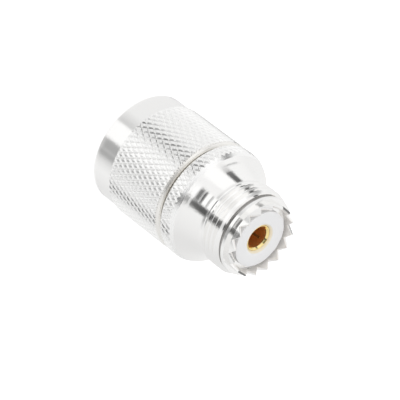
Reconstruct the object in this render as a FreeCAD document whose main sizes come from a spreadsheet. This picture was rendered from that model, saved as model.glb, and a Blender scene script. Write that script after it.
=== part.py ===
import FreeCAD, Part
import math
import os

import Sketcher

# Coaxial adapter: a UHF socket on one end and a plug with a captive, knurled
# coupling nut on the other. Millimetres. The axis is Z, the plug looks down and
# the socket looks up. The origin is the centre of the nut's rim, which the
# adapter stands on.

doc = FreeCAD.newDocument("coaxial_adapter")

# Driving sizes, each written once

SIZES = [
    # Coupling nut, outside
    ("nut_length", 17.5, "rim to rear face"),
    ("band_step", 0.28, "crests of the knurl to the smooth band, on radius"),
    ("band_length", 4.4, "rim to the bevel in front of the knurl"),
    ("rim_chamfer", 0.3, "outer edge of the rim"),
    ("nut_wall", 3.5, "bearing bore to the crests of the knurl"),
    ("nut_rear_chamfer", 0.8, "where the knurl runs out at the back"),
    # Diamond knurl of the nut and the flange
    ("knurl_diamonds", 62, "diamonds in one row round the grip"),
    ("knurl_pitch", 1.98, "a row of diamonds to the next but one, along the axis"),
    ("knurl_depth", 0.45, "crests to the bottom of the grooves"),
    ("knurl_stock", 0.5, "bar left above the crests before the knurl is cut"),
    ("nut_knurl_setback", 0.12, "end of the band to the first crossing of the grooves"),
    ("nut_knurl_angle", 4.08, "degrees from X to a crossing in that row"),
    ("flange_knurl_setback", 0.23, "first row of crossings to the flange's rear face"),
    ("flange_knurl_angle", 3.63, "degrees from X to a crossing in that row"),
    # Coupling nut, inside
    ("nut_thread_clearance", 0.32, "crests of the nut's own thread to the journal"),
    ("nut_mouth_chamfer", 0.6, "lead-in at the rim"),
    ("nut_undercut", 0.92, "undercut behind the thread, below the bearing bore"),
    ("nut_undercut_length", 2.4, ""),
    ("nut_bearing_length", 6.5, "rear face to the end of the undercut"),
    ("nut_rear_lead", 0.2, "small inner chamfer at the back"),
    ("nut_running_gap", 0.08, "nut to plug body, on radius"),
    # Plug body
    ("journal_step", 0.8375, "crests of the thread to the journal that the nut turns on"),
    ("plug_shoulder", 9.0, "rim to the gasket's seat"),
    ("plug_shoulder_chamfer", 0.15, "edge of the gasket's seat"),
    ("shoulder_width", 1.9, "journal to the hub inside the gasket"),
    ("hub_height", 1.0, "hub above the gasket's seat"),
    ("hub_step", 1.14, "hub to the outer contact sleeve"),
    ("sleeve_wall", 0.56, ""),
    ("sleeve_recess", 2.2, "rim to the end of the sleeve"),
    ("sleeve_chamfer", 0.2, "outer edge of the sleeve's end"),
    ("sleeve_slots", 4, "saw cuts round the sleeve"),
    ("sleeve_slot_width", 0.4, "width of a saw cut"),
    ("sleeve_root", 1.6, "whole sleeve between the saw cuts and the hub"),
    # Retaining ring and its two grooves
    ("ring_setback", 3.5, "nut's rear face to the middle of the ring"),
    ("ring_thickness", 1.0, "along the axis"),
    ("ring_bite", 0.65, "depth of the ring in the plug body"),
    ("ring_width", 1.3, "inner to outer radius"),
    ("ring_gap_angle", 18, "degrees left open in the ring"),
    ("ring_inner_gap", 0.1, "ring to the groove in the plug body"),
    ("ring_outer_gap", 0.2, "ring to the groove in the nut"),
    ("ring_side_gap", 0.1, "ring to the sides of its grooves"),
    # Gasket
    ("gasket_thickness", 1.3, ""),
    ("gasket_setback", 0.1, "edge of the journal to the gasket, on radius"),
    ("gasket_gap", 0.05, "gasket to the hub"),
    ("gasket_edge", 0.35, "rounding of its edges"),
    # Flange, flare, neck and thread of the socket shell
    ("flange_gap", 0.6, "nut's rear face to the flange"),
    ("flange_thickness", 3.3, "rear face to the foot of the flare"),
    ("flange_rear_chamfer", 0.4, ""),
    ("flange_bevel", 0.53, "crests to the foot of the flare, on radius"),
    ("flange_bevel_length", 1.0, "along the axis"),
    ("flare_tilt", 20, "degrees that the flare's foot rises towards the neck"),
    ("flare_land", 0.47, "straight part of the flare's foot"),
    ("neck_length", 0.75, "flare to the first thread"),
    ("thread_radius", 7.9375, "crests of the five-eighths inch thread, the same at both ends"),
    ("thread_depth", 0.6375, "crests to the neck"),
    ("thread_length", 3.95, ""),
    ("thread_chamfer", 0.35, "front edge of the thread"),
    ("relief_width", 0.4, "groove between the thread and the collar"),
    ("relief_depth", 0.3, "collar to the bottom of the groove"),
    # Collar and serrated crown round the socket's mouth
    ("collar_step", 0.5875, "crests of the thread to the collar, on radius"),
    ("collar_length", 0.7, ""),
    ("crown_step", 0.7, "collar to the crown, on radius"),
    ("crown_height", 1.95, "collar to the points of the teeth"),
    ("crown_taper", 0.05, "outside of the crown to the points, on radius"),
    ("crown_tip_wall", 0.38, "thickness of the teeth at their points"),
    ("crown_teeth", 16, ""),
    ("notch_depth", 1.35, "point to the bottom of a notch"),
    ("crown_wall", 0.81, "outside of the crown to the wall of the mouth"),
    ("mouth_step", 0.6, "wall of the mouth to the insulator's bore"),
    ("mouth_depth", 1.95, "points of the teeth to the floor of the mouth"),
    # Spigot that joins the shell to the plug body
    ("spigot_depth", 1.1, "journal to the spigot, on radius"),
    ("spigot_length", 3.5, ""),
    # Insulators
    ("insulator_ledge", 1.02, "wide bore of the shell to the narrow one"),
    ("insulator_step", 0.3, "socket's insulator to the plug's, on radius"),
    ("socket_face_recess", 1.15, "points of the teeth to the white face"),
    ("socket_countersink", 0.4, "white face down to the contact's lip"),
    ("socket_seat_height", 0.9, "flange's rear face to the wide bore"),
    ("plug_face_setback", 0.8, "gasket's seat to the white face in the plug"),
    ("seat_gap", 0.02, "all press seats, on radius"),
    # Inner contacts
    ("contact_bore_radius", 2.0, "takes the plug's centre pin"),
    ("contact_wall", 0.45, ""),
    ("contact_drill_cone", 0.9, "depth of the drill's point"),
    ("contact_floor", 0.35, "drill's point to the stud's hole"),
    ("contact_lead", 0.2, "chamfer at the mouth of the bore"),
    ("contact_edge", 0.15, "rounding of the outer edge"),
    ("contact_foot", 1.4, "insulator left under the contact"),
    ("contact_slots", 4, ""),
    ("contact_slot_width", 0.4, ""),
    ("contact_slot_start", 1.4, "whole lip in front of the slots"),
    ("contact_slot_length", 8.0, ""),
    ("stud_radius", 1.0, "stud of the pin, inside the contact"),
    ("stud_length", 2.2, ""),
    ("stud_end_gap", 0.2, "stud to the end of its hole"),
    ("pin_radius", 0.8, "front of the plug's centre pin"),
    ("pin_recess", 2.9, "rim to the tip of the pin"),
    ("pin_shank_reach", 1.4, "thick part of the pin in front of the white face"),
    ("pin_shank_radius", 1.52, "thick part of the pin"),
    ("pin_nose", 0.55, "rounding of the tip"),
]

sheet = doc.addObject("Spreadsheet::Sheet", "Sizes")
for row, (alias, value, note) in enumerate(SIZES, start=1):
    sheet.set(f"A{row}", alias)
    sheet.set(f"B{row}", str(value))
    sheet.set(f"C{row}", note)
    sheet.setAlias(f"B{row}", alias)
doc.recompute()

# Heights and radii that follow from the sizes

JOURNAL_RADIUS = "(Sizes.thread_radius - Sizes.journal_step)"
NUT_BEARING = f"({JOURNAL_RADIUS} + Sizes.nut_running_gap)"
KNURL_RADIUS = f"({NUT_BEARING} + Sizes.nut_wall)"
STOCK_RADIUS = f"({KNURL_RADIUS} + Sizes.knurl_stock)"
NECK_RADIUS = "(Sizes.thread_radius - Sizes.thread_depth)"

FLANGE_REAR = "(Sizes.nut_length + Sizes.flange_gap)"
FLANGE_FRONT = f"({FLANGE_REAR} + Sizes.flange_thickness)"
FLANGE_EDGE = f"({KNURL_RADIUS} - Sizes.flange_bevel)"
FLARE_WIDTH = f"({FLANGE_EDGE} - {NECK_RADIUS})"
FLARE_SLOPE = "tan(Sizes.flare_tilt * 1 deg)"
FLARE_FOOT = f"({FLARE_WIDTH} / cos(Sizes.flare_tilt * 1 deg) - Sizes.flare_land)"
FLARE_CORNER = f"({FLANGE_FRONT} + {FLARE_WIDTH} * {FLARE_SLOPE})"
FLARE_RADIUS = f"({FLARE_FOOT} / tan(45 deg - Sizes.flare_tilt * 0.5 deg))"
THREAD_START = f"({FLARE_CORNER} + {FLARE_FOOT} + Sizes.neck_length)"
THREAD_END = f"({THREAD_START} + Sizes.thread_length)"
COLLAR_START = f"({THREAD_END} + Sizes.relief_width)"
CROWN_START = f"({COLLAR_START} + Sizes.collar_length)"
CROWN_TOP = f"({CROWN_START} + Sizes.crown_height)"
MOUTH_FLOOR = f"({CROWN_TOP} - Sizes.mouth_depth)"
NOTCH_ROOT = f"({CROWN_TOP} - Sizes.notch_depth)"
SOCKET_FACE = f"({CROWN_TOP} - Sizes.socket_face_recess)"
SOCKET_SEAT = f"({FLANGE_REAR} + Sizes.socket_seat_height)"
SPIGOT_END = f"({FLANGE_REAR} - Sizes.spigot_length)"
CONTACT_FOOT = f"({SPIGOT_END} + Sizes.contact_foot)"
CONTACT_FACE = f"({SOCKET_FACE} - Sizes.socket_countersink)"
PLUG_FACE = "(Sizes.plug_shoulder + Sizes.plug_face_setback)"
HUB_END = "(Sizes.plug_shoulder - Sizes.hub_height)"
RING_MIDDLE = "(Sizes.nut_length - Sizes.ring_setback)"
RING_BOTTOM = f"({RING_MIDDLE} - Sizes.ring_thickness / 2)"
RING_TOP = f"({RING_MIDDLE} + Sizes.ring_thickness / 2)"
GROOVE_BOTTOM = f"({RING_BOTTOM} - Sizes.ring_side_gap)"
GROOVE_TOP = f"({RING_TOP} + Sizes.ring_side_gap)"

NUT_BORE = f"({JOURNAL_RADIUS} + Sizes.nut_thread_clearance)"
BAND_RADIUS = f"({KNURL_RADIUS} - Sizes.band_step)"
RING_INNER = f"({JOURNAL_RADIUS} - Sizes.ring_bite)"
RING_OUTER = f"({RING_INNER} + Sizes.ring_width)"
HUB_RADIUS = f"({JOURNAL_RADIUS} - Sizes.shoulder_width)"
SLEEVE_RADIUS = f"({HUB_RADIUS} - Sizes.hub_step)"
SLEEVE_BORE = f"({SLEEVE_RADIUS} - Sizes.sleeve_wall)"
SPIGOT_RADIUS = f"({JOURNAL_RADIUS} - Sizes.spigot_depth)"
COLLAR_RADIUS = "(Sizes.thread_radius - Sizes.collar_step)"
RELIEF_RADIUS = f"({COLLAR_RADIUS} - Sizes.relief_depth)"
CROWN_RADIUS = f"({COLLAR_RADIUS} - Sizes.crown_step)"
CROWN_TIP = f"({CROWN_RADIUS} - Sizes.crown_taper)"
CONTACT_RADIUS = "(Sizes.contact_bore_radius + Sizes.contact_wall)"
CONTACT_HOLE = f"({CONTACT_RADIUS} + Sizes.seat_gap)"
MOUTH_RADIUS = f"({CROWN_RADIUS} - Sizes.crown_wall)"
SOCKET_BORE = f"({MOUTH_RADIUS} - Sizes.mouth_step)"
SPIGOT_BORE = f"({SOCKET_BORE} - Sizes.insulator_ledge)"
PLUG_BORE = f"({SOCKET_BORE} - Sizes.insulator_step)"


def value(expression):
    """The number that an expression on the sheet stands for."""
    return float(sheet.evalExpression(expression))


def origin_plane(body, role):
    """One of a body's own origin planes."""
    for feature in body.Origin.OriginFeatures:
        if feature.Role == role:
            return feature
    raise ValueError(f"{body.Label} has no {role}")


def new_body(label):
    """An empty body for one separate piece."""
    body = doc.addObject("PartDesign::Body", label)
    body.Label = label
    return body


def outline_sketch(body, name, plane, corners):
    """A closed outline whose corners (across, up) are bound to the sheet."""
    sketch = body.newObject("Sketcher::SketchObject", name)
    sketch.AttachmentSupport = [(origin_plane(body, plane), "")]
    sketch.MapMode = "FlatFace"
    points = [FreeCAD.Vector(value(across), value(up), 0) for across, up in corners]
    count = len(points)
    for index, start in enumerate(points):
        sketch.addGeometry(Part.LineSegment(start, points[(index + 1) % count]), False)
    for index in range(count):
        following = (index + 1) % count
        sketch.addConstraint(Sketcher.Constraint("Coincident", index, 2, following, 1))
    for index, corner in enumerate(corners):
        for kind, expression, axis in zip(("DistanceX", "DistanceY"), corner, (-2, -1)):
            place = value(expression)
            if place == 0:
                on_axis = Sketcher.Constraint("PointOnObject", index, 1, axis)
                sketch.addConstraint(on_axis)
                continue
            distance = Sketcher.Constraint(kind, -1, 1, index, 1, place)
            number = sketch.addConstraint(distance)
            sketch.setExpression(f"Constraints[{number}]", expression)
    return sketch


def turn(body, corners, angle=None):
    """Turn an outline of (radius, height) corners round the axis."""
    sketch = outline_sketch(body, body.Label + "_outline", "XZ_Plane", corners)
    turned = body.newObject("PartDesign::Revolution", body.Label + "_turned")
    turned.Profile = sketch
    turned.ReferenceAxis = (sketch, ["V_Axis"])
    turned.Angle = 360
    if angle:
        turned.setExpression("Angle", angle)
    body.Tip = turned
    doc.recompute()
    return turned


def cut_round(body, name, corners, reach, count, start=None):
    """Cut an outline outward from the axis, repeated round Z from a start angle."""
    before = body.Shape.Volume
    sketch = outline_sketch(body, name + "_outline", "YZ_Plane", corners)
    if start:
        upright = FreeCAD.Rotation(FreeCAD.Vector(0, 1, 0), value(start))
        sketch.AttachmentOffset = FreeCAD.Placement(FreeCAD.Vector(), upright)
        sketch.setExpression("AttachmentOffset.Rotation.Angle", start)
    pocket = body.newObject("PartDesign::Pocket", name)
    pocket.Profile = sketch
    pocket.Type = "Length"
    pocket.setExpression("Length", reach)
    pocket.Reversed = True
    body.Tip = pocket
    doc.recompute()
    if not pocket.Shape.Volume < before:
        raise RuntimeError(f"{name} cuts nothing")
    pattern = body.newObject("PartDesign::PolarPattern", name + "_round")
    pattern.Originals = [pocket]
    pattern.Axis = (sketch, ["V_Axis"])
    pattern.Angle = 360
    pattern.setExpression("Occurrences", count)
    body.Tip = pattern
    doc.recompute()
    return pattern


def circle_edge(shape, radius, height):
    """The name of the round edge with this radius at this height."""
    for number, edge in enumerate(shape.Edges, start=1):
        curve = edge.Curve
        if not isinstance(curve, Part.Circle):
            continue
        same_radius = abs(curve.Radius - value(radius)) < 1e-6
        same_height = abs(curve.Center.z - value(height)) < 1e-6
        if same_radius and same_height:
            return f"Edge{number}"
    raise ValueError(f"no edge of radius {radius} at {height}")


def round_edges(body, name, size, places):
    """Round the circular edges at the given (radius, height) places."""
    base = body.Tip
    fillet = body.newObject("PartDesign::Fillet", name)
    edges = [circle_edge(base.Shape, radius, height) for radius, height in places]
    fillet.Base = (base, edges)
    fillet.setExpression("Radius", size)
    body.Tip = fillet
    doc.recompute()
    return fillet


# Diamond knurl: two sets of V grooves cross on a net of points, and each peak
# between them is a low pyramid with four flat sides

def knurled_bar(label, start, angle, reach):
    """A knurled bar from a start height to past a reach, with plain ends."""
    half_pitch = value("Sizes.knurl_pitch") / 2
    rows = math.floor(value(f"{reach} - {start}") / half_pitch) + 1
    columns = 2 * round(value("Sizes.knurl_diamonds"))
    crest = value(KNURL_RADIUS)
    groove = crest - value("Sizes.knurl_depth")
    plain = value(STOCK_RADIUS) + value("Sizes.knurl_stock")
    below = value(start)
    above = value(CROWN_TOP)
    # Each ring is its height, its radius at even columns and at odd ones
    rings = [(-below - half_pitch, plain, plain), (0, plain, plain)]
    for row in range(rows + 1):
        even, odd = (groove, crest) if row % 2 == 0 else (crest, groove)
        rings.append((row * half_pitch, even, odd))
    rings += [(rows * half_pitch, plain, plain), (above, plain, plain)]
    points = []
    for height, even, odd in rings:
        for column in range(columns):
            turned = 2 * math.pi * column / columns
            radius = odd if column % 2 else even
            points.append(FreeCAD.Vector(
                radius * math.cos(turned), radius * math.sin(turned), height))
    low_centre = len(points)
    high_centre = low_centre + 1
    points.append(FreeCAD.Vector(0, 0, rings[0][0]))
    points.append(FreeCAD.Vector(0, 0, rings[-1][0]))
    last = (len(rings) - 1) * columns
    facets = []
    for column in range(columns):
        beside = (column + 1) % columns
        facets.append((low_centre, beside, column))
        facets.append((high_centre, last + column, last + beside))
        for row in range(len(rings) - 1):
            a = row * columns + column
            b = row * columns + beside
            c = b + columns
            d = a + columns
            # The fold between two triangles lies in a groove
            if (row + column) % 2 == 0:
                facets += [(a, b, c), (a, c, d)]
            else:
                facets += [(a, b, d), (b, c, d)]
    surface = Part.Shape()
    surface.makeShapeFromMesh((points, facets), half_pitch / 1000)
    bar = doc.addObject("Part::Feature", label + "_knurl")
    bar.Shape = Part.Solid(surface)
    bar.setExpression("Placement.Base.z", start)
    bar.setExpression("Placement.Rotation.Angle", angle)
    doc.recompute()
    return bar


def knurled(label, turned, start, angle, reach):
    """What a turned piece and a knurled bar have in common."""
    bar = knurled_bar(label, start, angle, reach)
    grip = doc.addObject("Part::Common", label)
    grip.Base = turned
    grip.Tool = bar
    grip.Refine = False
    doc.recompute()
    return grip


# Socket shell: spigot, knurled flange, flare, thread, collar and serrated crown

def make_socket_shell():
    body = new_body("socket_shell_turned")
    bevel_run = "Sizes.knurl_stock * Sizes.flange_bevel_length / Sizes.flange_bevel"
    turn(body, [
        (SPIGOT_BORE, SPIGOT_END),
        (SPIGOT_RADIUS, SPIGOT_END),
        (SPIGOT_RADIUS, FLANGE_REAR),
        (f"{KNURL_RADIUS} - Sizes.flange_rear_chamfer", FLANGE_REAR),
        (STOCK_RADIUS, f"{FLANGE_REAR} + Sizes.flange_rear_chamfer + Sizes.knurl_stock"),
        (STOCK_RADIUS, f"{FLANGE_FRONT} - Sizes.flange_bevel_length - {bevel_run}"),
        (FLANGE_EDGE, FLANGE_FRONT),
        (NECK_RADIUS, FLARE_CORNER),
        (NECK_RADIUS, THREAD_START),
        ("Sizes.thread_radius", THREAD_START),
        ("Sizes.thread_radius", f"{THREAD_END} - Sizes.thread_chamfer"),
        ("Sizes.thread_radius - Sizes.thread_chamfer", THREAD_END),
        (RELIEF_RADIUS, THREAD_END),
        (RELIEF_RADIUS, COLLAR_START),
        (COLLAR_RADIUS, COLLAR_START),
        (COLLAR_RADIUS, CROWN_START),
        (CROWN_RADIUS, CROWN_START),
        (CROWN_TIP, CROWN_TOP),
        (f"{CROWN_TIP} - Sizes.crown_tip_wall", CROWN_TOP),
        (MOUTH_RADIUS, MOUTH_FLOOR),
        (SOCKET_BORE, MOUTH_FLOOR),
        (SOCKET_BORE, SOCKET_SEAT),
        (SPIGOT_BORE, SOCKET_SEAT),
    ])
    round_edges(body, "flare", FLARE_RADIUS, [(NECK_RADIUS, FLARE_CORNER)])
    # A notch is as wide at the points as the space between them, so each tooth
    # ends in a point. Its sides go on above the points, in the same slope.
    half_width = f"({CROWN_TIP} * tan(180 deg / Sizes.crown_teeth))"
    cut_round(body, "notch", [
        ("0", NOTCH_ROOT),
        (f"2 * {half_width}", f"{CROWN_TOP} + Sizes.notch_depth"),
        (f"-2 * {half_width}", f"{CROWN_TOP} + Sizes.notch_depth"),
    ], f"2 * {CROWN_RADIUS}", "Sizes.crown_teeth")
    first_row = f"({FLANGE_REAR} - Sizes.flange_knurl_setback)"
    return knurled("socket_shell", body, first_row, "Sizes.flange_knurl_angle", FLANGE_FRONT)


# Plug body: slotted contact sleeve, hub, gasket seat, journal and ring groove

def make_plug_body():
    body = new_body("plug_body")
    groove_floor = f"({RING_INNER} - Sizes.ring_inner_gap)"
    spigot_seat = f"({SPIGOT_RADIUS} + Sizes.seat_gap)"
    turn(body, [
        (SLEEVE_BORE, "Sizes.sleeve_recess"),
        (f"{SLEEVE_RADIUS} - Sizes.sleeve_chamfer", "Sizes.sleeve_recess"),
        (SLEEVE_RADIUS, "Sizes.sleeve_recess + Sizes.sleeve_chamfer"),
        (SLEEVE_RADIUS, HUB_END),
        (HUB_RADIUS, HUB_END),
        (HUB_RADIUS, "Sizes.plug_shoulder"),
        (f"{JOURNAL_RADIUS} - Sizes.plug_shoulder_chamfer", "Sizes.plug_shoulder"),
        (JOURNAL_RADIUS, "Sizes.plug_shoulder + Sizes.plug_shoulder_chamfer"),
        (JOURNAL_RADIUS, GROOVE_BOTTOM),
        (groove_floor, GROOVE_BOTTOM),
        (groove_floor, GROOVE_TOP),
        (JOURNAL_RADIUS, GROOVE_TOP),
        (JOURNAL_RADIUS, FLANGE_REAR),
        (spigot_seat, FLANGE_REAR),
        (spigot_seat, SPIGOT_END),
        (PLUG_BORE, SPIGOT_END),
        (PLUG_BORE, PLUG_FACE),
        (SLEEVE_BORE, PLUG_FACE),
    ])
    half_slot = "Sizes.sleeve_slot_width / 2"
    slot_end = f"{HUB_END} - Sizes.sleeve_root"
    cut_round(body, "sleeve_slot", [
        (half_slot, "Sizes.sleeve_recess / 2"),
        (half_slot, slot_end),
        (f"-{half_slot}", slot_end),
        (f"-{half_slot}", "Sizes.sleeve_recess / 2"),
    ], f"2 * {SLEEVE_RADIUS}", "Sizes.sleeve_slots", "180 deg / Sizes.sleeve_slots")
    return body


# Coupling nut: smooth band, knurled grip, threaded mouth and ring groove

def make_coupling_nut():
    body = new_body("coupling_nut_turned")
    groove_floor = f"({RING_OUTER} + Sizes.ring_outer_gap)"
    undercut_radius = f"({NUT_BEARING} + Sizes.nut_undercut)"
    undercut_end = "(Sizes.nut_length - Sizes.nut_bearing_length)"
    thread_end = f"({undercut_end} - Sizes.nut_undercut_length)"
    turn(body, [
        (f"{NUT_BORE} + Sizes.nut_mouth_chamfer", "0"),
        (f"{BAND_RADIUS} - Sizes.rim_chamfer", "0"),
        (BAND_RADIUS, "Sizes.rim_chamfer"),
        (BAND_RADIUS, "Sizes.band_length"),
        (STOCK_RADIUS, "Sizes.band_length + Sizes.band_step + Sizes.knurl_stock"),
        (STOCK_RADIUS, "Sizes.nut_length - Sizes.nut_rear_chamfer - Sizes.knurl_stock"),
        (f"{KNURL_RADIUS} - Sizes.nut_rear_chamfer", "Sizes.nut_length"),
        (f"{NUT_BEARING} + Sizes.nut_rear_lead", "Sizes.nut_length"),
        (NUT_BEARING, "Sizes.nut_length - Sizes.nut_rear_lead"),
        (NUT_BEARING, GROOVE_TOP),
        (groove_floor, GROOVE_TOP),
        (groove_floor, GROOVE_BOTTOM),
        (NUT_BEARING, GROOVE_BOTTOM),
        (NUT_BEARING, undercut_end),
        (undercut_radius, undercut_end),
        (undercut_radius, thread_end),
        (NUT_BORE, thread_end),
        (NUT_BORE, "Sizes.nut_mouth_chamfer"),
    ])
    first_row = "(Sizes.band_length + Sizes.nut_knurl_setback)"
    return knurled("coupling_nut", body, first_row, "Sizes.nut_knurl_angle", "Sizes.nut_length")


# Open spring ring that keeps the nut on the plug body

def make_retaining_ring():
    body = new_body("retaining_ring")
    turn(body, [
        (RING_INNER, RING_BOTTOM),
        (RING_OUTER, RING_BOTTOM),
        (RING_OUTER, RING_TOP),
        (RING_INNER, RING_TOP),
    ], "360 deg - Sizes.ring_gap_angle * 1 deg")
    return body


# Rubber gasket round the hub, against the plug body's shoulder

def make_sealing_gasket():
    body = new_body("sealing_gasket")
    inner = f"({HUB_RADIUS} + Sizes.gasket_gap)"
    outer = f"({JOURNAL_RADIUS} - Sizes.gasket_setback)"
    front = "(Sizes.plug_shoulder - Sizes.gasket_thickness)"
    turn(body, [
        (inner, front),
        (outer, front),
        (outer, "Sizes.plug_shoulder"),
        (inner, "Sizes.plug_shoulder"),
    ])
    round_edges(body, "gasket_lips", "Sizes.gasket_edge", [(inner, front), (outer, front)])
    return body


# White insulator that holds the socket contact in the shell

def make_socket_insulator():
    body = new_body("socket_insulator")
    neck = f"({SPIGOT_BORE} - Sizes.seat_gap)"
    outside = f"({SOCKET_BORE} - Sizes.seat_gap)"
    pin_hole = "(Sizes.pin_shank_radius + Sizes.seat_gap)"
    turn(body, [
        (pin_hole, SPIGOT_END),
        (neck, SPIGOT_END),
        (neck, SOCKET_SEAT),
        (outside, SOCKET_SEAT),
        (outside, SOCKET_FACE),
        (f"{CONTACT_HOLE} + Sizes.socket_countersink", SOCKET_FACE),
        (CONTACT_HOLE, CONTACT_FACE),
        (CONTACT_HOLE, CONTACT_FOOT),
        (pin_hole, CONTACT_FOOT),
    ])
    return body


# White insulator that centres the pin in the plug body

def make_plug_insulator():
    body = new_body("plug_insulator")
    outside = f"({PLUG_BORE} - Sizes.seat_gap)"
    pin_hole = "(Sizes.pin_shank_radius + Sizes.seat_gap)"
    turn(body, [
        (pin_hole, PLUG_FACE),
        (outside, PLUG_FACE),
        (outside, SPIGOT_END),
        (pin_hole, SPIGOT_END),
    ])
    return body


# Gold-plated socket contact with a whole lip and spring slots behind it

def make_socket_contact():
    body = new_body("socket_contact")
    stud_hole = "(Sizes.stud_radius + Sizes.seat_gap)"
    stud_hole_end = f"({CONTACT_FOOT} + Sizes.stud_length + Sizes.stud_end_gap)"
    drill_point = f"({stud_hole_end} + Sizes.contact_floor)"
    turn(body, [
        (stud_hole, CONTACT_FOOT),
        (CONTACT_RADIUS, CONTACT_FOOT),
        (CONTACT_RADIUS, CONTACT_FACE),
        ("Sizes.contact_bore_radius + Sizes.contact_lead", CONTACT_FACE),
        ("Sizes.contact_bore_radius", f"{CONTACT_FACE} - Sizes.contact_lead"),
        ("Sizes.contact_bore_radius", f"{drill_point} + Sizes.contact_drill_cone"),
        ("0", drill_point),
        ("0", stud_hole_end),
        (stud_hole, stud_hole_end),
    ])
    round_edges(body, "contact_lip", "Sizes.contact_edge", [(CONTACT_RADIUS, CONTACT_FACE)])
    half_slot = "Sizes.contact_slot_width / 2"
    slot_top = f"({CONTACT_FACE} - Sizes.contact_slot_start)"
    slot_bottom = f"({slot_top} - Sizes.contact_slot_length)"
    cut_round(body, "contact_slot", [
        (half_slot, slot_bottom),
        (half_slot, slot_top),
        (f"-{half_slot}", slot_top),
        (f"-{half_slot}", slot_bottom),
    ], f"2 * {CONTACT_RADIUS}", "Sizes.contact_slots")
    return body


# Gold-plated centre pin of the plug, with the stud that holds it to the contact

def make_plug_pin():
    body = new_body("plug_pin")
    shoulder = f"({PLUG_FACE} - Sizes.pin_shank_reach)"
    stud_end = f"({CONTACT_FOOT} + Sizes.stud_length)"
    turn(body, [
        ("0", "Sizes.pin_recess"),
        ("Sizes.pin_radius", "Sizes.pin_recess"),
        ("Sizes.pin_radius", shoulder),
        ("Sizes.pin_shank_radius", shoulder),
        ("Sizes.pin_shank_radius", CONTACT_FOOT),
        ("Sizes.stud_radius", CONTACT_FOOT),
        ("Sizes.stud_radius", stud_end),
        ("0", stud_end),
    ])
    round_edges(body, "pin_tip", "Sizes.pin_nose", [("Sizes.pin_radius", "Sizes.pin_recess")])
    return body


PIECES = [
    make_socket_shell(),
    make_plug_body(),
    make_coupling_nut(),
    make_retaining_ring(),
    make_sealing_gasket(),
    make_socket_insulator(),
    make_plug_insulator(),
    make_socket_contact(),
    make_plug_pin(),
]
doc.recompute()

# Nothing is written unless every object of the document is sound

for thing in doc.Objects:
    if "Invalid" in thing.State or "Error" in thing.State:
        raise RuntimeError(f"{thing.Label} failed: {thing.State}")
for piece in PIECES:
    if piece.Shape.isNull() or not piece.Shape.isValid():
        raise RuntimeError(f"{piece.Label} has no valid shape")
    if len(piece.Shape.Solids) != 1:
        raise RuntimeError(f"{piece.Label} is not one solid")

os.makedirs("parts", exist_ok=True)
for piece in PIECES:
    piece.Shape.exportStep(f"parts/{piece.Label}.step")
    print(piece.Label, round(piece.Shape.Volume, 2), "mm3")
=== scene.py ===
# %% [markdown]
# # A coaxial adapter in silver plate
# The CAD model gives nine turned pieces in the right places. This script dresses them:
# it cuts the knurls, the threads and the crown's teeth as fine meshes, gives every piece
# its metal, plastic or rubber, and lights the whole like a small product on white.

# %% Load the frame
import math
import bmesh
import bpy
import numpy as np
from mathutils import Matrix, Vector


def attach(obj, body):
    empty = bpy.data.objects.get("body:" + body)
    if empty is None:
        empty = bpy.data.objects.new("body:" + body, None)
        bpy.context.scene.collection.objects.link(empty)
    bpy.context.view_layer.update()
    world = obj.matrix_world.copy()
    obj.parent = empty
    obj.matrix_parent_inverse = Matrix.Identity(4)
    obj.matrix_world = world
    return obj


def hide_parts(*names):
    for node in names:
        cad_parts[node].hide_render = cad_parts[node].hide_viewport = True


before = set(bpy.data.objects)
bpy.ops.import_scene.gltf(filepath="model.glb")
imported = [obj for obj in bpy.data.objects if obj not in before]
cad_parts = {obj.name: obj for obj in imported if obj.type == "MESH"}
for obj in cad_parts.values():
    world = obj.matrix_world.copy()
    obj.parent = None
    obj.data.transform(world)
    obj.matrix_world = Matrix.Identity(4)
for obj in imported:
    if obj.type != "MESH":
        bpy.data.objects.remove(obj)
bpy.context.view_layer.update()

MM = 0.001

# %% [markdown]
# ## Camera
# The photograph looks down on the socket's mouth, 37 degrees above the floor, with the
# adapter's axis running to the lower right. A camera can be aimed with a tracking
# constraint, but the picture is also rolled, so its three axes are written out instead:
# right, up and back, as a fit of a pinhole camera to the photograph gave them. The lens
# is long, and the part sits left of the centre, as it does there. CAMERA_SIDE is the
# side of the part that faces the lens, as an angle round Z. The first turn of the thread
# and the reflections are measured from it.

# %% Camera
CAMERA_SIDE = -93.45
camera_data = bpy.data.cameras.new("studio_camera")
camera_data.sensor_width = 36
camera_data.lens = 234.17
camera_data.clip_start = 0.01
camera_data.clip_end = 20
camera = bpy.data.objects.new("studio_camera", camera_data)
bpy.context.scene.collection.objects.link(camera)
right = Vector((-0.57818, 0.51124, 0.63588))
up = Vector((-0.81436, -0.31356, -0.48837))
back = Vector((-0.05028, -0.80020, 0.59763))
stance = Matrix((right, up, back)).transposed().to_4x4()
stance.translation = Vector((-21.200, -351.648, 279.411)) * MM
camera.matrix_world = stance
bpy.context.scene.camera = camera
print("camera", round(camera.location.length / MM), "mm from the origin")

# %% [markdown]
# ## Turned pieces as rings of points
# Every piece here comes off a lathe, so its surface is a stack of rings round Z. A plain
# lathe modifier would do for smooth pieces, but knurls and threads change their radius
# round the ring. So each ring holds a radius and a height for every column, all in
# millimetres, and a helper joins neighbouring rings with faces. A thread's rings climb
# by one pitch in a turn, so its last column joins the first one a whole pitch further up.

# %% Rings
COLUMNS = 496


def ring(radius, height, columns=COLUMNS):
    """One ring: a radius and a height for every column."""
    return (np.broadcast_to(np.asarray(radius, float), (columns,)).copy(),
            np.broadcast_to(np.asarray(height, float), (columns,)).copy())


def profile(points, columns=COLUMNS):
    """Plain rings from (radius, height) points."""
    return [ring(radius, height, columns) for radius, height in points]


def arc(centre, size, start, end, steps):
    """Points of an arc between two angles in degrees, with both ends."""
    angles = np.radians(np.linspace(start, end, steps))
    return [(centre[0] + size * math.cos(a), centre[1] + size * math.sin(a)) for a in angles]


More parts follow.
